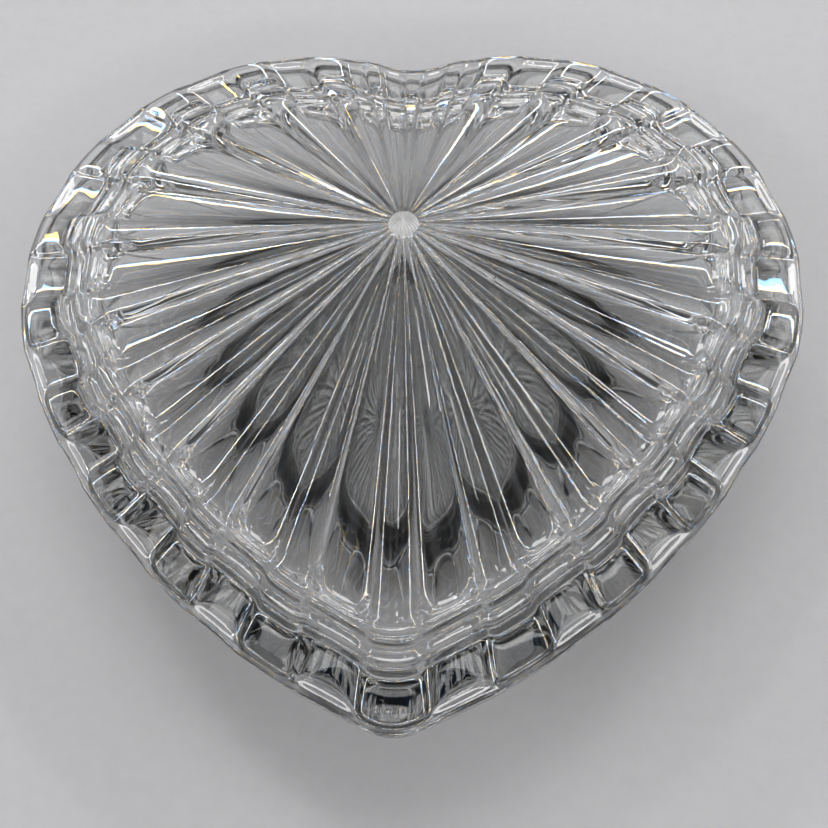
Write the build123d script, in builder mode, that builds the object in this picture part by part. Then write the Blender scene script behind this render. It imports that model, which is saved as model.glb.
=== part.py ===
"""Heart-shaped trinket box in pressed clear crystal: a dish and a lift-off lid.

Millimetres, +Z up, the point of the heart towards -Y. The origin is under the middle of the
box, on the surface that it stands on. The lid rises to an apex, and every rib and flute runs
straight out from the upright line through that apex.
"""
import os
from math import atan2, cos, degrees, hypot, radians, sin, sqrt, tan

from build123d import *

# ---- widest outline of the lid: tangent arcs, placed from the apex line ----
LOBE_X = 18.0
LOBE_Y = 0.0
LOBE_RADIUS = 44.5
SIDE_RADIUS = 105.0
TIP_RADIUS = 8.0
TIP_Y = -71.6
TIP_SWELL = 0.25
NOTCH_RADIUS = 8.0
APEX_Y = -(TIP_Y + LOBE_Y + LOBE_RADIUS) / 2

# ---- ribs and flutes that run from the apex down every surface ----
RIB_PITCH = 16.0
WIDE_PITCHES = 10
NOTCH_RIBS = (170.0, 180.0)
RIB_HALF_ANGLE = 3.3
NOTCH_RIB_HALF_ANGLE = 1.7
RIB_BULGE = 0.9
FLUTE_SINK = 0.5

# ---- dish: insets are measured in from the lid's outline, heights up from the foot ----
DISH_INSET = 2.0
DISH_HEIGHT = 27.0
DISH_BAND = 5.0
DISH_RIM_ROUND = 0.6
DISH_SINK = 1.2
BELLY_SIZE = 0.86
BELLY_HEIGHT = 13.0
FOOT_SIZE = 0.63
FOOT_RISE = 2.0
FOOT_RECESS_SIZE = 0.50
FOOT_RECESS = 0.8
MOUTH_INSET = 8.5
MOUTH_STRAIGHT = 5.0
CAVITY_BELLY_SIZE = 0.86
CAVITY_BELLY_HEIGHT = 13.5
FLOOR_SIZE = 0.60
FLOOR_HEIGHT = 5.5

# ---- lid: heights are measured up from its seat, just above the dish ----
SEAT_GAP = 0.3
RIM_THICKNESS = 2.4
RIM_TOP_ROUND = 0.8
RIM_UNDER_ROUND = 0.5
SKIRT_FOOT_INSET = 2.2
SKIRT_TOP_INSET = 7.6
SKIRT_TOP = 3.6
SKIRT_FLUTE_DEPTH = 0.8
STEP_INSET = 7.9
STEP_TOP = 4.4
CROWN_INSET = 11.5
CROWN_TOP = 5.5
DOME_INSET = 12.1
DOME_TOP_SIZE = 0.03
APEX_TOP = 17.0
FLUTE_END_INSET = 13.0
FLUTE_DEPTH = 1.6
FLUTE_START = 3.2
LIP_INSET = 9.1
LIP_INNER_INSET = 12.4
LIP_DEPTH = 2.4
HOLLOW_INSET = 13.2
HOLLOW_SHOULDER = 1.4
HOLLOW_TOP_SIZE = 0.15
HOLLOW_TOP = 10.5


def side_centre():
    """Centre of the long side arc, which touches the lobe and the tip arcs from outside."""
    tip_centre_y = TIP_Y + TIP_RADIUS
    span = hypot(LOBE_X, LOBE_Y - tip_centre_y)
    to_lobe = SIDE_RADIUS - LOBE_RADIUS
    to_tip = SIDE_RADIUS - TIP_RADIUS
    along = (to_lobe**2 - to_tip**2 + span**2) / (2 * span)
    across = sqrt(to_lobe**2 - along**2)
    unit_x = -LOBE_X / span
    unit_y = (tip_centre_y - LOBE_Y) / span
    return LOBE_X + along * unit_x + across * unit_y, LOBE_Y + along * unit_y - across * unit_x


SIDE_X, SIDE_Y = side_centre()
NOTCH_CENTRE_Y = LOBE_Y + sqrt((LOBE_RADIUS + NOTCH_RADIUS) ** 2 - LOBE_X**2)


def tip_arc(inset):
    """Centre height and radius of the tip arc; inner outlines have the blunter tip."""
    radius = TIP_RADIUS + TIP_SWELL * inset
    return SIDE_Y - sqrt((SIDE_RADIUS - inset - radius) ** 2 - SIDE_X**2), radius


def bearing_beyond(from_x, from_y, to_x, to_y, distance):
    """Bearing of the point at a distance from one arc centre, towards the next centre."""
    span = hypot(to_x - from_x, to_y - from_y)
    x = from_x + (to_x - from_x) * distance / span
    y = from_y + (to_y - from_y) * distance / span
    return degrees(atan2(x, -y))


def turns(inset):
    """Bearings, 0 at the tip and 180 at the notch, where one arc hands over to the next."""
    side = SIDE_RADIUS - inset
    lobe = LOBE_RADIUS - inset
    return (
        bearing_beyond(SIDE_X, SIDE_Y, 0, tip_arc(inset)[0], side),
        bearing_beyond(SIDE_X, SIDE_Y, LOBE_X, LOBE_Y, side),
        bearing_beyond(LOBE_X, LOBE_Y, 0, NOTCH_CENTRE_Y, lobe),
    )


def reach(angle, inset):
    """Distance from the apex line to the outline, moved in by an inset, at a bearing."""
    tip_turn, side_turn, notch_turn = turns(inset)
    turn = abs((angle + 180) % 360 - 180)
    if turn <= tip_turn:
        y, radius = tip_arc(inset)
        x, side = 0, 1
    elif turn <= side_turn:
        x, y, radius, side = SIDE_X, SIDE_Y, SIDE_RADIUS - inset, 1
    elif turn <= notch_turn:
        x, y, radius, side = LOBE_X, LOBE_Y, LOBE_RADIUS - inset, 1
    else:
        x, y, radius, side = 0, NOTCH_CENTRE_Y, NOTCH_RADIUS + inset, -1
    along = x * sin(radians(turn)) - y * cos(radians(turn))
    return along + side * sqrt(along**2 - x**2 - y**2 + radius**2)


def on_outline(angle, inset, size, bulge=0.0):
    distance = size * reach(angle, inset) + bulge
    return distance * sin(radians(angle)), -distance * cos(radians(angle))


def level(height):
    """Level plane at a height, with its origin on the apex line."""
    return Plane(origin=(0, APEX_Y, height))


def smooth_heart(inset, size=1.0):
    """Plain heart outline: tip, sides, lobes and the rounded notch."""
    tip_turn, side_turn, notch_turn = turns(inset)
    ends = [-notch_turn, -side_turn, -tip_turn, tip_turn, side_turn, notch_turn]
    for start, end in zip(ends, ends[1:] + [360 - notch_turn]):
        ThreePointArc(
            on_outline(start, inset, size),
            on_outline((start + end) / 2, inset, size),
            on_outline(end, inset, size),
        )


def rib_bearings():
    """Centre and half angle of every rib, in order round the heart."""
    right = [(RIB_PITCH * step, RIB_HALF_ANGLE) for step in range(WIDE_PITCHES + 1)]
    right += [(angle, NOTCH_RIB_HALF_ANGLE) for angle in NOTCH_RIBS]
    left = [(360 - angle, half) for angle, half in reversed(right[1:-1])]
    return right + left


def flute_bearings():
    """Start bearing, end bearing and relative width of every flute between two ribs."""
    ribs = rib_bearings()
    flutes = []
    for (angle, half), (after, after_half) in zip(ribs, ribs[1:] + [(360, RIB_HALF_ANGLE)]):
        start = angle + half
        end = after - after_half
        flutes.append((start, end, (end - start) / (RIB_PITCH - 2 * RIB_HALF_ANGLE)))
    return flutes


def fluted_heart(inset, size=1.0, sink=FLUTE_SINK):
    """Heart outline with outward ribs and inward flutes meeting at cusps."""
    for (angle, half), (start, end, width) in zip(rib_bearings(), flute_bearings()):
        ThreePointArc(
            on_outline(angle - half, inset, size),
            on_outline(angle, inset, size, RIB_BULGE),
            on_outline(angle + half, inset, size),
        )
        ThreePointArc(
            on_outline(start, inset, size),
            on_outline((start + end) / 2, inset, size, -sink * width),
            on_outline(end, inset, size),
        )


def cut_flute(half_angle, depth, bearing, near, far):
    """Cut one round-bottomed flute between two (distance, height) points on a slope."""
    near_half = near[0] * tan(radians(half_angle))
    far_half = far[0] * tan(radians(half_angle))
    far_radius = (far_half**2 + depth**2) / (2 * depth)
    near_radius = far_radius * near_half / far_half
    lift = 1 - depth / far_radius
    outward = Vector(sin(radians(bearing)), -cos(radians(bearing)), 0)
    upward = Vector(0, 0, 1)
    start = Vector(0, APEX_Y, 0) + outward * near[0] + upward * (near[1] + near_radius * lift)
    end = Vector(0, APEX_Y, 0) + outward * far[0] + upward * (far[1] + far_radius * lift)
    with Locations(Plane(origin=start, z_dir=end - start)):
        Cone(
            bottom_radius=near_radius,
            top_radius=far_radius,
            height=(end - start).length,
            align=(Align.CENTER, Align.CENTER, Align.MIN),
            mode=Mode.SUBTRACT,
        )


# ---- dish ----
BAND_FOOT = DISH_HEIGHT - DISH_BAND

with BuildPart() as base_dish:
    with BuildSketch(level(0)):
        with BuildLine():
            fluted_heart(DISH_INSET, FOOT_SIZE)
        make_face()
    extrude(amount=FOOT_RISE)
    with BuildSketch(level(FOOT_RISE)):
        with BuildLine():
            fluted_heart(DISH_INSET, FOOT_SIZE)
        make_face()
    with BuildSketch(level(BELLY_HEIGHT)):
        with BuildLine():
            fluted_heart(DISH_INSET, BELLY_SIZE, DISH_SINK)
        make_face()
    loft(ruled=True)
    with BuildSketch(level(BELLY_HEIGHT)):
        with BuildLine():
            fluted_heart(DISH_INSET, BELLY_SIZE, DISH_SINK)
        make_face()
    with BuildSketch(level(BAND_FOOT)):
        with BuildLine():
            fluted_heart(DISH_INSET, sink=DISH_SINK)
        make_face()
    loft(ruled=True)
    with BuildSketch(level(BAND_FOOT)):
        with BuildLine():
            smooth_heart(DISH_INSET)
        make_face()
    extrude(amount=DISH_BAND)

    # cavity: a straight mouth above walls that curve in to the floor
    with BuildSketch(level(DISH_HEIGHT - MOUTH_STRAIGHT)):
        with BuildLine():
            smooth_heart(MOUTH_INSET)
        make_face()
    extrude(amount=MOUTH_STRAIGHT, mode=Mode.SUBTRACT)
    fillet(base_dish.edges().group_by(Axis.Z)[-1], radius=DISH_RIM_ROUND)
    with BuildSketch(level(CAVITY_BELLY_HEIGHT)):
        with BuildLine():
            smooth_heart(MOUTH_INSET, CAVITY_BELLY_SIZE)
        make_face()
    with BuildSketch(level(DISH_HEIGHT - MOUTH_STRAIGHT)):
        with BuildLine():
            smooth_heart(MOUTH_INSET)
        make_face()
    loft(ruled=True, mode=Mode.SUBTRACT)
    with BuildSketch(level(FLOOR_HEIGHT)):
        with BuildLine():
            smooth_heart(MOUTH_INSET, FLOOR_SIZE)
        make_face()
    with BuildSketch(level(CAVITY_BELLY_HEIGHT)):
        with BuildLine():
            smooth_heart(MOUTH_INSET, CAVITY_BELLY_SIZE)
        make_face()
    loft(ruled=True, mode=Mode.SUBTRACT)

    # shallow recess that leaves a ground foot ring
    with BuildSketch(level(0)):
        with BuildLine():
            smooth_heart(DISH_INSET, FOOT_RECESS_SIZE)
        make_face()
    extrude(amount=FOOT_RECESS, mode=Mode.SUBTRACT)

# ---- lid ----
SEAT = DISH_HEIGHT + SEAT_GAP

with BuildPart() as lid:
    with BuildSketch(level(SEAT)):
        with BuildLine():
            smooth_heart(0)
        make_face()
    extrude(amount=RIM_THICKNESS)
    fillet(lid.edges().group_by(Axis.Z)[-1], radius=RIM_TOP_ROUND)
    fillet(lid.edges().group_by(Axis.Z)[0], radius=RIM_UNDER_ROUND)

    # skirt, with a short flute between every two ribs
    with BuildSketch(level(SEAT + RIM_THICKNESS)):
        with BuildLine():
            fluted_heart(SKIRT_FOOT_INSET)
        make_face()
    with BuildSketch(level(SEAT + SKIRT_TOP)):
        with BuildLine():
            fluted_heart(SKIRT_TOP_INSET)
        make_face()
    loft(ruled=True)
    for start, end, width in flute_bearings():
        middle = (start + end) / 2
        cut_flute(
            (end - start) / 2,
            SKIRT_FLUTE_DEPTH * width,
            middle,
            (reach(middle, SKIRT_TOP_INSET), SEAT + SKIRT_TOP),
            (reach(middle, SKIRT_FOOT_INSET), SEAT + RIM_THICKNESS),
        )

    # the two scalloped steps
    with BuildSketch(level(SEAT)):
        with BuildLine():
            fluted_heart(STEP_INSET)
        make_face()
    extrude(amount=STEP_TOP)
    with BuildSketch(level(SEAT + STEP_TOP)):
        with BuildLine():
            fluted_heart(CROWN_INSET)
        make_face()
    extrude(amount=CROWN_TOP - STEP_TOP)

    # low pointed dome, with tapering flutes that end short of its edge
    with BuildSketch(level(SEAT + CROWN_TOP)):
        with BuildLine():
            smooth_heart(DOME_INSET)
        make_face()
    with BuildSketch(level(SEAT + APEX_TOP)):
        with BuildLine():
            smooth_heart(DOME_INSET, DOME_TOP_SIZE)
        make_face()
    loft(ruled=True)
    for start, end, width in flute_bearings():
        middle = (start + end) / 2
        edge = reach(middle, DOME_INSET)
        fall = (APEX_TOP - CROWN_TOP) / (edge * (1 - DOME_TOP_SIZE))
        far = reach(middle, FLUTE_END_INSET)
        cut_flute(
            (end - start) / 2,
            FLUTE_DEPTH * width,
            middle,
            (FLUTE_START, SEAT + CROWN_TOP + (edge - FLUTE_START) * fall),
            (far, SEAT + CROWN_TOP + (edge - far) * fall),
        )

    # locating lip and the hollow underneath
    with BuildSketch(level(SEAT - LIP_DEPTH)):
        with BuildLine():
            smooth_heart(LIP_INSET)
        make_face()
    extrude(amount=LIP_DEPTH)
    with BuildSketch(level(SEAT - LIP_DEPTH)):
        with BuildLine():
            smooth_heart(LIP_INNER_INSET)
        make_face()
    with BuildSketch(level(SEAT + HOLLOW_SHOULDER)):
        with BuildLine():
            smooth_heart(HOLLOW_INSET)
        make_face()
    loft(ruled=True, mode=Mode.SUBTRACT)
    with BuildSketch(level(SEAT + HOLLOW_SHOULDER)):
        with BuildLine():
            smooth_heart(HOLLOW_INSET)
        make_face()
    with BuildSketch(level(SEAT + HOLLOW_TOP)):
        with BuildLine():
            smooth_heart(HOLLOW_INSET, HOLLOW_TOP_SIZE)
        make_face()
    loft(ruled=True, mode=Mode.SUBTRACT)

base_dish.part.label = "base_dish"
lid.part.label = "lid"

os.makedirs("parts", exist_ok=True)
export_step(base_dish.part, "parts/base_dish.step")
export_step(lid.part, "parts/lid.step")
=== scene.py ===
"""Looks of the heart-shaped crystal trinket box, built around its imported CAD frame.

The lid and the dish are each one closed mesh of pressed crystal. Both are swept from the same
heart outline: every ring of vertices is the outline moved in by an inset and scaled towards the
apex line, and the ribs and flutes are waves along that ring. Bearings are degrees round the apex
line from the point of the heart. Lengths are in millimetres until a mesh is built; Blender's own
objects are in metres.
"""

import math

import bpy
import numpy as np
from mathutils import Matrix, Vector


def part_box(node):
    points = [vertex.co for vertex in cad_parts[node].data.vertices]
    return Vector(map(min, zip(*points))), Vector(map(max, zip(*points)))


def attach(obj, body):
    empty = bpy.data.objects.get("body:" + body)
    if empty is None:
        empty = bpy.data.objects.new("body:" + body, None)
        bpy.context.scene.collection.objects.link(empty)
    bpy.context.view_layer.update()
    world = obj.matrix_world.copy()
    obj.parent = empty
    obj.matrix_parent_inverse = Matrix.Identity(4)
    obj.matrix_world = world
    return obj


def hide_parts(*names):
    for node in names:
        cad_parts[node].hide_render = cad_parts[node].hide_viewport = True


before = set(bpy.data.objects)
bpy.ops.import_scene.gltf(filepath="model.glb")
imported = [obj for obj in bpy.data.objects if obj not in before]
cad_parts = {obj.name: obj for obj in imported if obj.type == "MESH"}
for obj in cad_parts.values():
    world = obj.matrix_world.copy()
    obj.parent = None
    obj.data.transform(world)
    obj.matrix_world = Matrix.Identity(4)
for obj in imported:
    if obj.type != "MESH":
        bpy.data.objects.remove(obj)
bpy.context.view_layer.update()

MM = 0.001

# ---- the lid's widest outline, tangent arcs placed from the apex line ----
LOBE_X = 18.0
LOBE_Y = 0.0
LOBE_RADIUS = 44.5
SIDE_RADIUS = 105.0
TIP_RADIUS = 8.0
TIP_Y = -71.6
TIP_SWELL = 0.25
NOTCH_RADIUS = 8.0

# ---- ribs and flutes round the heart, in degrees ----
RIB_PITCH = 16.0
WIDE_PITCHES = 10
NOTCH_RIBS = (170.0, 180.0)
RIB_HALF_ANGLE = 3.7
NOTCH_RIB_HALF_ANGLE = 1.9
RIB_SAMPLES = 12
FLUTE_SAMPLES = 10
BLOCK_POWER = 6
ROUND_POWER = 0.6
GROOVE_HALF_WIDTH = 0.8

# ---- levels, from the CAD ----
LID_CLEARANCE = 0.3
lid_low, lid_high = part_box("lid")
_, dish_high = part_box("base_dish")
APEX_Y = lid_low.y / MM - TIP_Y
APEX_Z = lid_high.z / MM
DISH_TOP = dish_high.z / MM
SEAT = DISH_TOP + LID_CLEARANCE


# ---------------------------------------------------------------- outline
def side_centre():
    """Centre of the long side arc, which touches the lobe and the tip arcs."""
    tip_centre_y = TIP_Y + TIP_RADIUS
    span = math.hypot(LOBE_X, LOBE_Y - tip_centre_y)
    to_lobe = SIDE_RADIUS - LOBE_RADIUS
    to_tip = SIDE_RADIUS - TIP_RADIUS
    along = (to_lobe**2 - to_tip**2 + span**2) / (2 * span)
    across = math.sqrt(to_lobe**2 - along**2)
    unit_x = -LOBE_X / span
    unit_y = (tip_centre_y - LOBE_Y) / span
    return LOBE_X + along * unit_x + across * unit_y, LOBE_Y + along * unit_y - across * unit_x


SIDE_X, SIDE_Y = side_centre()
NOTCH_CENTRE_Y = LOBE_Y + math.sqrt((LOBE_RADIUS + NOTCH_RADIUS) ** 2 - LOBE_X**2)


def bearing_beyond(from_x, from_y, to_x, to_y, distance):
    """Bearing of the point at a distance from one arc centre, towards the next centre."""
    span = np.hypot(to_x - from_x, to_y - from_y)
    x = from_x + (to_x - from_x) * distance / span
    y = from_y + (to_y - from_y) * distance / span
    return np.degrees(np.arctan2(x, -y))


def reach(bearing, inset):
    """Distance from the apex line to the outline moved in by an inset; arrays in, array out."""
    bearing, inset = np.broadcast_arrays(np.asarray(bearing, float), np.asarray(inset, float))
    turn = np.abs((bearing + 180) % 360 - 180)
    tip_radius = TIP_RADIUS + TIP_SWELL * inset
    tip_y = SIDE_Y - np.sqrt((SIDE_RADIUS - inset - tip_radius) ** 2 - SIDE_X**2)
    tip_turn = bearing_beyond(SIDE_X, SIDE_Y, 0, tip_y, SIDE_RADIUS - inset)
    side_turn = bearing_beyond(SIDE_X, SIDE_Y, LOBE_X, LOBE_Y, SIDE_RADIUS - inset)
    lobe_turn = bearing_beyond(LOBE_X, LOBE_Y, 0, NOTCH_CENTRE_Y, LOBE_RADIUS - inset)
    # Each arc's centre and radius, and which side of its circle the outline follows.
    arcs = [
        (0, tip_y, tip_radius, 1),
        (SIDE_X, SIDE_Y, SIDE_RADIUS - inset, 1),
        (LOBE_X, LOBE_Y, LOBE_RADIUS - inset, 1),
        (0, NOTCH_CENTRE_Y, NOTCH_RADIUS + inset, -1),
    ]
    distances = []
    for x, y, radius, side in arcs:
        along = x * np.sin(np.radians(turn)) - y * np.cos(np.radians(turn))
        half_chord = np.sqrt(np.maximum(along**2 - x**2 - y**2 + radius**2, 0))
        distances.append(along + side * half_chord)
    ends = [turn <= tip_turn, turn <= side_turn, turn <= lobe_turn]
    return np.select(ends, distances[:3], distances[3])


# ---------------------------------------------------------------- ribs and flutes
def ribs():
    """Centre and half angle of every rib, in order round the heart."""
    right = [(RIB_PITCH * step, RIB_HALF_ANGLE) for step in range(WIDE_PITCHES + 1)]
    right += [(angle, NOTCH_RIB_HALF_ANGLE) for angle in NOTCH_RIBS]
    left = [(360 - angle, half) for angle, half in reversed(right[1:-1])]
    return right + left


def places_across(samples):
    """Places from -1 up to, but not including, 1, closer together near the two ends."""
    return [-math.cos(math.pi * step / samples) for step in range(samples)]


def sectors():
    """Bearing, rib weight, flute weight and place across its rib or flute, for each vertex."""
    bearing, rib, flute, across = [], [], [], []
    order = ribs()
    for (angle, half), (after, after_half) in zip(order, order[1:] + [(360.0, RIB_HALF_ANGLE)]):
        for u in places_across(RIB_SAMPLES):
            bearing.append(angle + half * u)
            rib.append(min(1.0, half / RIB_HALF_ANGLE))
            flute.append(0.0)
            across.append(u)
        start = angle + half
        end = after - after_half
        for u in places_across(FLUTE_SAMPLES):
            bearing.append((start + end) / 2 + (end - start) / 2 * u)
            rib.append(0.0)
            flute.append((end - start) / (RIB_PITCH - 2 * RIB_HALF_ANGLE))
            across.append(u)
    return np.array(bearing), np.array(rib), np.array(flute), np.array(across)


BEARING, RIB, FLUTE, ACROSS = sectors()
SIN = np.sin(np.radians(BEARING))
COS = np.cos(np.radians(BEARING))

# Cross-sections of the ribs and flutes, 0 at their edges and up to 1 in the middle.
RIB_BLOCK = RIB * (1 - ACROSS**BLOCK_POWER)
RIB_ROUND = RIB * (1 - ACROSS**2) ** ROUND_POWER
RIB_GROOVE = RIB * np.maximum(0, 1 - (ACROSS / GROOVE_HALF_WIDTH) ** 2) ** 2
FLUTE_BLOCK = FLUTE * (1 - ACROSS**BLOCK_POWER)
FLUTE_ROUND = FLUTE * (1 - ACROSS**2)


# ---------------------------------------------------------------- profiles and meshes
ROUND_STEPS = 4
ROUND_SHARE = 0.48
SIZE_WEIGHT = 50


def row_distance(row, other):
    """Distance between two rows, where a change in size counts SIZE_WEIGHT times."""
    metric = np.array([1, SIZE_WEIGHT, 1, 0, 0, 0, 0], float)
    return np.linalg.norm((row - other) * metric)


def rounded(corners):
    """Rows along a polyline of corners, with every corner rounded off.

    A corner is a row (inset, size, z, rib out, flute in, rib up, flute down), then its rounding
    and the longest step along the straight stretch that leads to it.
    """
    rows = np.array([corner[:7] for corner in corners], float)
    out = [rows[0]]
    last = rows[0]
    for index in range(1, len(rows)):
        rounding, spacing = corners[index][7:]
        here = rows[index]
        before = row_distance(here, rows[index - 1])
        cut = 0.0
        if index < len(rows) - 1:
            after = row_distance(rows[index + 1], here)
            cut = min(rounding, ROUND_SHARE * before, ROUND_SHARE * after)
        stop = here + (rows[index - 1] - here) * (cut / before)
        count = max(1, int(math.ceil(row_distance(stop, last) / spacing)))
        for step in range(1, count + 1):
            out.append(last + (stop - last) * step / count)
        last = stop
        if cut > 0:
            leave = here + (rows[index + 1] - here) * (cut / after)
            for step in range(1, ROUND_STEPS + 1):
                t = step / ROUND_STEPS
                out.append((1 - t) ** 2 * stop + 2 * t * (1 - t) * here + t**2 * leave)
            last = leave
    return out


def ring(distance, height):
    """Ring of vertices from their distances from the apex line and their heights."""
    return np.stack([distance * SIN, APEX_Y - distance * COS, height], 1)


def profile_ring(row):
    """Ring of vertices for one row of a profile."""
    inset, size, z, rib_out, flute_in, rib_up, flute_down = row
    distance = size * reach(BEARING, inset) + rib_out * RIB_BLOCK - flute_in * FLUTE_ROUND
    return ring(distance, z + rib_up * RIB_BLOCK - flute_down * FLUTE_BLOCK)


def swept(name, rings, first_pole, last_pole):
    """Closed mesh from rings of equal length, with a single vertex closing each end."""
    count = len(BEARING)
    points = [np.array([first_pole])] + list(rings) + [np.array([last_pole])]
    verts = np.concatenate(points) * MM
    faces = []
    for k in range(count):
        faces.append((0, 1 + k, 1 + (k + 1) % count))
    for r in range(len(rings) - 1):
        base = 1 + r * count
        for k in range(count):
            n = (k + 1) % count
            faces.append((base + k, base + count + k, base + count + n, base + n))
    base = 1 + (len(rings) - 1) * count
    pole = len(verts) - 1
    for k in range(count):
        faces.append((pole, base + (k + 1) % count, base + k))
    mesh = bpy.data.meshes.new(name)
    mesh.from_pydata([tuple(v) for v in verts], [], faces)
    mesh.polygons.foreach_set("use_smooth", [True] * len(mesh.polygons))
    mesh.update()
    obj = bpy.data.objects.new(name, mesh)
    bpy.context.scene.collection.objects.link(obj)
    return obj


# ---------------------------------------------------------------- lid
DOME_INSET = 12.1
DOME_REACH = reach(BEARING, DOME_INSET)
CROWN_Z = SEAT + 5.5
STEP_Z = SEAT + 4.4

# The satin cap at the apex, and its pleats.
CAP_RADIUS = 2.3
CAP_POWER = 2.2
CAP_STAND = 1.1
CAP_DEPTH = 2.0
PLEAT_RISE = 0.3
PLEAT_START = 1.2
PLEAT_END = 0.8
DOME_RISE = APEX_Z - CAP_STAND - CROWN_Z

# Ribs start at FADE_START from the apex line, and reach full relief FADE_LENGTH further out.
FADE_START = 1.8
FADE_LENGTH = 0.8
RIB_RISE = 1.9
FLUTE_DEPTH = 0.9
RELIEF_POWER = 0.9
LEAST_RELIEF = 0.05
LEAST_RELIEF_START = 1.5

# The groove along a rib's crest, from GROOVE_START of the way out.
GROOVE_DEPTH = 0.3
GROOVE_START = 0.5
GROOVE_POWER = 0.7

# The rounded outer ends of the flutes, and the raised outer ends of the ribs.
FLUTE_END_INSET = 13.0
TONGUE = 2.2
TONGUE_ROUND = 2.4
RIM_VALLEY = 0.5
RIM_RISE = 0.9

# Rings of the dome: sizes of its innermost outline, finest over the cap, then insets to its edge.
DOME_CORE_INSET = 17.5
CAP_SIZES = (0.008, 0.016, 0.024, 0.032, 0.040, 0.046, 0.052, 0.058, 0.066, 0.076, 0.088, 0.10)
INNER_SIZES = np.linspace(0.115, 0.25, 12)
OUTER_SIZES = np.linspace(0.28, 1.0, 22)
EDGE_INSETS = np.arange(17.2, DOME_INSET + 0.05, -0.3)


def share(value):
    """The value, held between 0 and 1."""
    return np.clip(value, 0, 1)


def dome_ring(inset, size):
    """Ring of the dome: rounded ribs, flutes with rounded ends, and a small pleated cap."""
    distance = size * reach(BEARING, inset)
    part = distance / DOME_REACH
    height = CROWN_Z + DOME_RISE * (1 - part)
    shoulder = CROWN_Z + DOME_RISE * (1 - CAP_RADIUS / DOME_REACH)
    crown = np.sqrt(np.maximum(0, 1 - share(distance / CAP_RADIUS) ** CAP_POWER))
    height = np.where(distance < CAP_RADIUS, shoulder + (APEX_Z - shoulder) * crown, height)

    tongue = TONGUE_ROUND * ACROSS**4 * (FLUTE > 0)
    run = share((reach(BEARING, FLUTE_END_INSET) - distance - tongue) / TONGUE)
    ending = RIM_VALLEY + (1 - RIM_VALLEY) * np.sqrt(1 - (1 - run) ** 2)
    fade = share((distance - FADE_START) / FADE_LENGTH)
    fade = fade**2 * (3 - 2 * fade)
    relief = np.maximum(part, LEAST_RELIEF * share(distance / LEAST_RELIEF_START))
    out = share((part - GROOVE_START) / (1 - GROOVE_START)) ** GROOVE_POWER
    valley = RIB_RISE * (1 - RIB_ROUND) + FLUTE_DEPTH * (FLUTE_ROUND + FLUTE_BLOCK) / 2
    valley = valley + GROOVE_DEPTH * RIB_GROOVE * out
    height = height - valley * relief**RELIEF_POWER * ending * fade

    pleat_in = share(distance / PLEAT_START) * share((CAP_RADIUS - distance) / PLEAT_END)
    height = height - PLEAT_RISE * (distance < CAP_RADIUS) + PLEAT_RISE * RIB_ROUND * pleat_in
    return ring(distance, height + RIM_RISE * RIB_ROUND * part**3)


def lid_mesh():
    """Lid: the dome, then the ridges, skirt and rim, then the lip and the hollow underneath."""
    sizes = [*CAP_SIZES, *INNER_SIZES, *OUTER_SIZES]
    dome = [dome_ring(DOME_CORE_INSET, size) for size in sizes]
    dome += [dome_ring(inset, 1.0) for inset in EDGE_INSETS]
    hollow_top = SEAT + 10.6
    profile = rounded(
        [
            # inner ridge
            (DOME_INSET, 1, CROWN_Z, 0.0, 0.0, 0.0, 0.0, 0, 1),
            (11.95, 1, CROWN_Z - 0.2, 0.2, 0.1, 0.9, 0.9, 0.3, 0.3),
            (11.2, 1, CROWN_Z + 0.75, 0.8, 0.3, 0.9, 0.9, 1.0, 0.4),
            (10.4, 1, STEP_Z - 0.4, 0.8, 0.3, 0.9, 0.9, 0.6, 0.6),
            # outer ridge
            (9.0, 1, STEP_Z - 0.5, 0.8, 0.3, 0.9, 0.9, 0.6, 0.8),
            (8.1, 1, STEP_Z + 0.75, 0.8, 0.3, 0.9, 0.9, 1.0, 0.4),
            (7.2, 1, SEAT + 3.3, 0.8, 0.3, 0.8, 0.7, 0.6, 0.6),
            # skirt
            (6.4, 1, SEAT + 3.2, 0.8, 0.3, 0.6, 0.7, 0.4, 0.6),
            (1.8, 1, SEAT + 2.85, 0.5, 0.3, 0.4, 0.9, 0.5, 1.2),
            # rim
            (1.2, 1, SEAT + 2.3, 0.3, 0.2, 0.1, 0.0, 0.3, 0.4),
            (0.0, 1, SEAT + 2.3, -0.05, 0.4, 0.0, 0.0, 0.75, 0.5),
            (0.0, 1, SEAT + 0.0, 0.0, 0.0, 0.0, 0.0, 0.6, 0.4),
            # locating lip
            (9.1, 1, SEAT + 0.0, 0.0, 0.0, 0.0, 0.0, 0.3, 3.0),
            (9.1, 1, SEAT - 2.4, 0.0, 0.0, 0.0, 0.0, 0.6, 1.5),
            (12.4, 1, SEAT - 2.4, 0.0, 0.0, 0.0, 0.0, 0.8, 1.5),
            # hollow
            (13.2, 1, SEAT + 1.4, 0.0, 0.0, 0.0, 0.0, 1.2, 1.5),
            (13.2, 0.93, SEAT + 2.3, 0.0, 0.0, 0.0, 0.0, 0.5, 1.5),
            (13.2, 0.15, SEAT + 10.5, 0.0, 0.0, 0.0, 0.0, 0.3, 1.8),
            (13.2, 0.02, hollow_top, 0.0, 0.0, 0.0, 0.0, 0, 1.3),
        ]
    )
    rings = dome + [profile_ring(row) for row in profile[1:]]
    return swept("crystal_lid", rings, (0, APEX_Y, APEX_Z), (0, APEX_Y, hollow_top))


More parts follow.
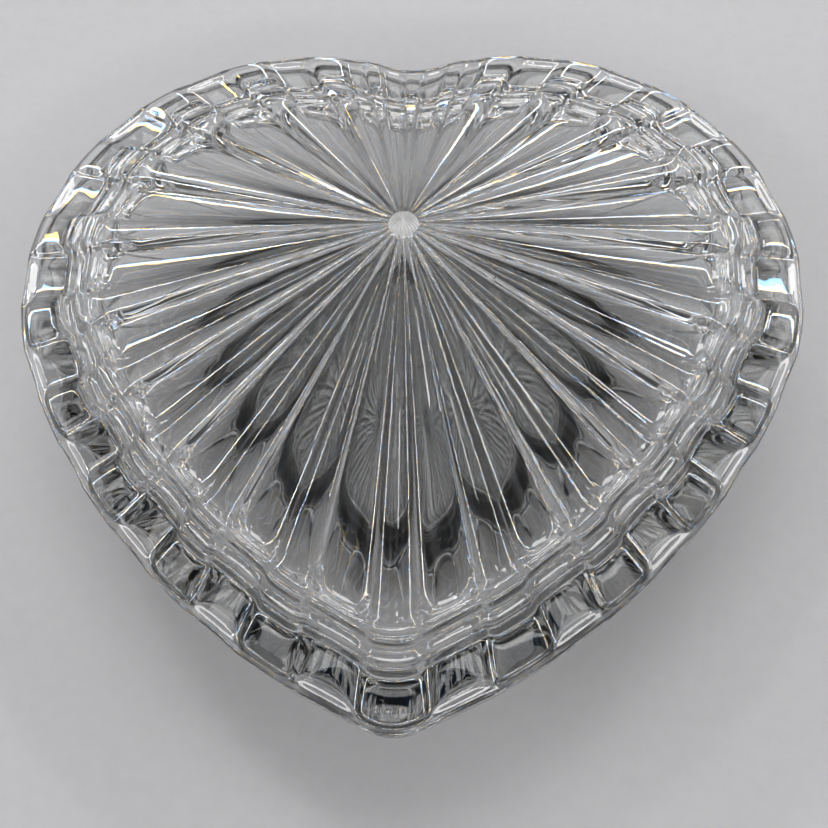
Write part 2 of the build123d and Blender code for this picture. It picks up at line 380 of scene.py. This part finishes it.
# ---------------------------------------------------------------- dish
def dish_mesh():
    """Dish: the cavity, then the rim and the ribbed outside, then the foot and its recess."""
    top = DISH_TOP
    floor_z = 5.5
    recess_z = 0.8
    profile = rounded(
        [
            # cavity
            (8.5, 0.02, floor_z, 0, 0, 0, 0, 0, 1),
            (8.5, 0.60, floor_z, 0, 0, 0, 0, 3.0, 1.6),
            (8.5, 0.86, 13.5, 0, 0, 0, 0, 3.5, 1.2),
            (8.5, 1, top - 5, 0, 0, 0, 0, 2.0, 1.2),
            # rim
            (8.5, 1, top, 0, 0, 0, 0, 0.6, 1.2),
            (1.2, 1, top, 0, 0, 0, 0, 0.8, 1.2),
            (1.2, 1, top - 3.4, 0, 0, 0, 0, 0.6, 0.8),
            # ribbed outside
            (1.8, 0.985, top - 4, 0.6, 0.7, 0, 0, 0.4, 0.4),
            (1.8, 0.85, 13.0, 0.9, 1.5, 0, 0, 2.5, 0.8),
            (1.8, 0.62, 2.2, 0.9, 1.0, 0, 0, 0.8, 0.8),
            # foot and recess
            (1.8, 0.62, 0.0, 0.5, 0.5, 0, 0, 0.5, 0.6),
            (1.8, 0.50, 0.0, 0, 0, 0, 0, 0.3, 1.6),
            (1.8, 0.49, recess_z, 0, 0, 0, 0, 0.3, 0.4),
            (1.8, 0.02, recess_z, 0, 0, 0, 0, 0, 1.6),
        ]
    )
    rings = [profile_ring(row) for row in profile]
    return swept("crystal_dish", rings, (0, APEX_Y, floor_z), (0, APEX_Y, recess_z))


# ---------------------------------------------------------------- materials
CRYSTAL_IOR = 1.55

# The tint's two colours, each with the noise value that gives it.
TINT_SCALE = 55.0
TINT_FROM = (0.3, (0.925, 0.935, 0.935))
TINT_TO = (0.7, (0.955, 0.955, 0.95))
DISH_TINT_SHIFT = 0.004

# The polish: noise values between which the roughness rises from none to its most.
POLISH_SCALE = 240.0
POLISH_DETAIL = 3.0
POLISH_FROM = 0.45
POLISH_TO = 0.8
POLISH_ROUGHNESS = 0.03

# The mould's waviness, as a bump, and the satin of the cap.
WAVE_SCALE = 130.0
WAVE_DETAIL = 1.5
WAVE_STRENGTH = 0.25
WAVE_DEPTH = 0.0002
CAP_CLARITY = 0.72
CAP_ROUGHNESS = 0.3
PLAIN_DETAIL = 2.0


def new_material(name):
    """A new material, its node tree, its shader and its object coordinates."""
    material = bpy.data.materials.new(name)
    material.use_nodes = True
    tree = material.node_tree
    place = tree.nodes.new("ShaderNodeTexCoord").outputs["Object"]
    return material, tree, tree.nodes["Principled BSDF"], place


def noise(tree, place, scale, detail):
    """Output of a noise texture laid over the object's coordinates."""
    node = tree.nodes.new("ShaderNodeTexNoise")
    node.inputs["Scale"].default_value = scale
    node.inputs["Detail"].default_value = detail
    tree.links.new(place, node.inputs["Vector"])
    return node.outputs["Fac"]


def crystal(name, tint_shift=0.0, clarity=1.0, roughness=0.0):
    """Pressed crystal: glass with faint mould waviness, uneven polish and a slight grey tint."""
    material, tree, bsdf, place = new_material(name)
    bsdf.inputs["Transmission Weight"].default_value = clarity
    bsdf.inputs["IOR"].default_value = CRYSTAL_IOR

    tint = tree.nodes.new("ShaderNodeValToRGB")
    low, high = tint.color_ramp.elements
    low.position, (red, green, blue) = TINT_FROM
    low.color = (red - tint_shift, green, blue, 1)
    high.position, (red, green, blue) = TINT_TO
    high.color = (red, green - tint_shift / 2, blue, 1)
    tree.links.new(noise(tree, place, TINT_SCALE, PLAIN_DETAIL), tint.inputs["Fac"])
    tree.links.new(tint.outputs["Color"], bsdf.inputs["Base Color"])

    rough = tree.nodes.new("ShaderNodeMapRange")
    rough.inputs["From Min"].default_value = POLISH_FROM
    rough.inputs["From Max"].default_value = POLISH_TO
    rough.inputs["To Min"].default_value = roughness
    rough.inputs["To Max"].default_value = roughness + POLISH_ROUGHNESS
    tree.links.new(noise(tree, place, POLISH_SCALE, POLISH_DETAIL), rough.inputs["Value"])
    tree.links.new(rough.outputs["Result"], bsdf.inputs["Roughness"])

    bump = tree.nodes.new("ShaderNodeBump")
    bump.inputs["Strength"].default_value = WAVE_STRENGTH
    bump.inputs["Distance"].default_value = WAVE_DEPTH
    tree.links.new(noise(tree, place, WAVE_SCALE, WAVE_DETAIL), bump.inputs["Height"])
    tree.links.new(bump.outputs["Normal"], bsdf.inputs["Normal"])
    return material


# ---------------------------------------------------------------- pieces
lid_piece = lid_mesh()
dish_piece = dish_mesh()
lid_piece.data.materials.append(crystal("crystal_lid_glass"))
lid_piece.data.materials.append(
    crystal("crystal_tip_glass", clarity=CAP_CLARITY, roughness=CAP_ROUGHNESS)
)
for face in lid_piece.data.polygons:
    from_apex = math.hypot(face.center.x, face.center.y - APEX_Y * MM)
    if from_apex < CAP_RADIUS * MM and face.center.z > (APEX_Z - CAP_DEPTH) * MM:
        face.material_index = 1
dish_piece.data.materials.append(crystal("crystal_dish_glass", DISH_TINT_SHIFT))
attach(lid_piece, "lid")
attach(dish_piece, "dish")
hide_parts("lid")
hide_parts("base_dish")

# ---------------------------------------------------------------- studio floor
FLOOR_SIZE = 14.0
FLOOR_ROUGHNESS = 0.7
FLOOR_GRAIN = 400.0
FLOOR_DARK = (0.25, 0.25, 0.255)
FLOOR_PALE = (0.28, 0.28, 0.285)


def floor():
    """Plain pale floor under the box."""
    half = FLOOR_SIZE / 2
    corners = [(-half, -half, 0), (half, -half, 0), (half, half, 0), (-half, half, 0)]
    mesh = bpy.data.meshes.new("floor")
    mesh.from_pydata(corners, [], [(0, 1, 2, 3)])
    obj = bpy.data.objects.new("floor", mesh)
    bpy.context.scene.collection.objects.link(obj)
    material, tree, bsdf, place = new_material("studio_floor")
    bsdf.inputs["Roughness"].default_value = FLOOR_ROUGHNESS
    ramp = tree.nodes.new("ShaderNodeValToRGB")
    ramp.color_ramp.elements[0].color = (*FLOOR_DARK, 1)
    ramp.color_ramp.elements[1].color = (*FLOOR_PALE, 1)
    tree.links.new(noise(tree, place, FLOOR_GRAIN, PLAIN_DETAIL), ramp.inputs["Fac"])
    tree.links.new(ramp.outputs["Color"], bsdf.inputs["Base Color"])
    obj.data.materials.append(material)


floor()

# ---------------------------------------------------------------- studio lights
LIGHT_TARGET = (0, 0, 0.03)
WHITE = (1, 1, 1)
COOL = (0.2, 0.5, 1.0)
WARM = (1.0, 0.65, 0.15)
FRINGE_WIDTH = 0.8
FRINGE_POWER = 0.7


def area_light(name, place, length, width, power, colour=WHITE):
    """Rectangular light that faces the box; lengths in metres and power in watts."""
    data = bpy.data.lights.new(name, "AREA")
    data.shape = "RECTANGLE"
    data.size = length
    data.size_y = width
    data.energy = power
    data.color = colour
    obj = bpy.data.objects.new(name, data)
    bpy.context.scene.collection.objects.link(obj)
    obj.location = place
    aim = Vector(LIGHT_TARGET) - Vector(place)
    obj.rotation_euler = aim.to_track_quat("-Z", "Y").to_euler()


def strip_light(name, place, length, width, power):
    """White strip with a narrow cool edge and a narrow warm edge, which fringe its reflections."""
    area_light(name, place, length, width, power)
    along = Vector((place[1], -place[0], 0)).normalized()
    back = Vector(place) - Vector(LIGHT_TARGET)
    rise = along.cross(back).normalized()
    for suffix, side, colour in (("_cool", 1, COOL), ("_warm", -1, WARM)):
        edge = Vector(place) + rise * side * width
        area_light(name + suffix, edge, length, width * FRINGE_WIDTH, power * FRINGE_POWER, colour)


area_light("softbox", (0.03, 0.37, 0.86), 0.50, 0.36, 9.0)
area_light("key", (-0.30, 0.50, 0.80), 0.12, 0.08, 3.0)
for name, place in (
    ("strip_right", (0.65, 0.15, 0.50)),
    ("strip_left", (-0.65, -0.15, 0.45)),
    ("strip_front", (0.1, -0.70, 0.60)),
):
    strip_light(name, place, 0.7, 0.018, 2.9)
area_light("panel", (0.06, 0.0, 0.95), 0.10, 0.05, 0.4)
strip_light("strip_back", (0.1, 0.75, 0.35), 0.7, 0.016, 1.8)
for name, place in (
    ("strip_back_right", (0.45, 0.45, 0.65)),
    ("strip_back_left", (-0.48, 0.35, 0.50)),
    ("strip_front_left", (-0.42, -0.45, 0.65)),
    ("strip_front_right", (0.45, -0.48, 0.55)),
):
    strip_light(name, place, 0.5, 0.013, 1.4)

# ---------------------------------------------------------------- studio sky
# The sky's colour goes by height, from 0 at the horizon to 1 overhead. The zenith's colour comes
# after the top's at the same height, so it is only a small bright spot straight overhead.
SKY_HORIZON = (0.28, 0.28, 0.285)
SKY_TOP = (0.15, 0.15, 0.153)
SKY_ZENITH = (1.0, 1.0, 1.0)

# Bands of brighter sky: middle height and brightness, then the colours across each one.
SKY_BANDS = ((0.42, 1.6), (0.70, 1.3), (0.93, 0.8))
BAND_STOPS = (
    (-0.036, (0.09, 0.09, 0.09)),
    (-0.026, (0.5, 0.35, 0.1)),
    (-0.017, (1.0, 1.0, 1.0)),
    (0.017, (1.0, 1.0, 1.0)),
    (0.026, (0.1, 0.25, 0.5)),
    (0.036, (0.09, 0.09, 0.09)),
)

world = bpy.data.worlds.new("studio")
world.use_nodes = True
sky_nodes = world.node_tree.nodes
sky_links = world.node_tree.links
sky_place = sky_nodes.new("ShaderNodeTexCoord")
sky_split = sky_nodes.new("ShaderNodeSeparateXYZ")
sky = sky_nodes.new("ShaderNodeValToRGB")
sky_stops = sky.color_ramp.elements
sky_stops[0].color = (*SKY_HORIZON, 1)
sky_stops[1].color = (*SKY_TOP, 1)
sky_stops.new(1.0).color = (*SKY_ZENITH, 1)
for band_height, band_power in SKY_BANDS:
    for offset, colour in BAND_STOPS:
        stop = sky_stops.new(band_height + offset)
        stop.color = (*(band_power * part for part in colour), 1)
sky_links.new(sky_place.outputs["Generated"], sky_split.inputs["Vector"])
sky_links.new(sky_split.outputs["Z"], sky.inputs["Fac"])
sky_links.new(sky.outputs["Color"], sky_nodes["Background"].inputs["Color"])
sky_nodes["Background"].inputs["Strength"].default_value = 1.0
bpy.context.scene.world = world

# ---------------------------------------------------------------- camera
ELEVATION = math.radians(66.56)
AZIMUTH = math.radians(-6.12)
ROLL = math.radians(-5.05)
DISTANCE = 0.15297
SENSOR = 36.0
FRAME_PIXELS = 828.0
FOCAL_PIXELS = 1000.0
NEAR_LIMIT = 0.01
LOOK_AT = Vector((0.00166, APEX_Y * MM - 0.02404, 0.0273))

forward = Vector(
    (
        math.sin(AZIMUTH) * math.cos(ELEVATION),
        math.cos(AZIMUTH) * math.cos(ELEVATION),
        -math.sin(ELEVATION),
    )
)
right = Vector((math.cos(AZIMUTH), -math.sin(AZIMUTH), 0))
up = right.cross(forward)
rolled_right = right * math.cos(ROLL) + up * math.sin(ROLL)
rolled_up = up * math.cos(ROLL) - right * math.sin(ROLL)
camera_data = bpy.data.cameras.new("camera")
camera_data.lens = SENSOR * FOCAL_PIXELS / FRAME_PIXELS
camera_data.sensor_width = SENSOR
camera_data.clip_start = NEAR_LIMIT
camera = bpy.data.objects.new("camera", camera_data)
bpy.context.scene.collection.objects.link(camera)
turn = Matrix((rolled_right, rolled_up, -forward)).transposed().to_4x4()
camera.matrix_world = Matrix.Translation(LOOK_AT - forward * DISTANCE) @ turn
bpy.context.scene.camera = camera

# ---------------------------------------------------------------- light paths and exposure
GLASS_BOUNCES = 24
GLOSSY_BOUNCES = 12
INDIRECT_CLAMP = 3.0
EXPOSURE = -0.95

scene = bpy.context.scene
scene.cycles.max_bounces = GLASS_BOUNCES
scene.cycles.transmission_bounces = GLASS_BOUNCES
scene.cycles.glossy_bounces = GLOSSY_BOUNCES
scene.cycles.sample_clamp_indirect = INDIRECT_CLAMP
scene.view_settings.view_transform = "Standard"
scene.view_settings.exposure = EXPOSURE
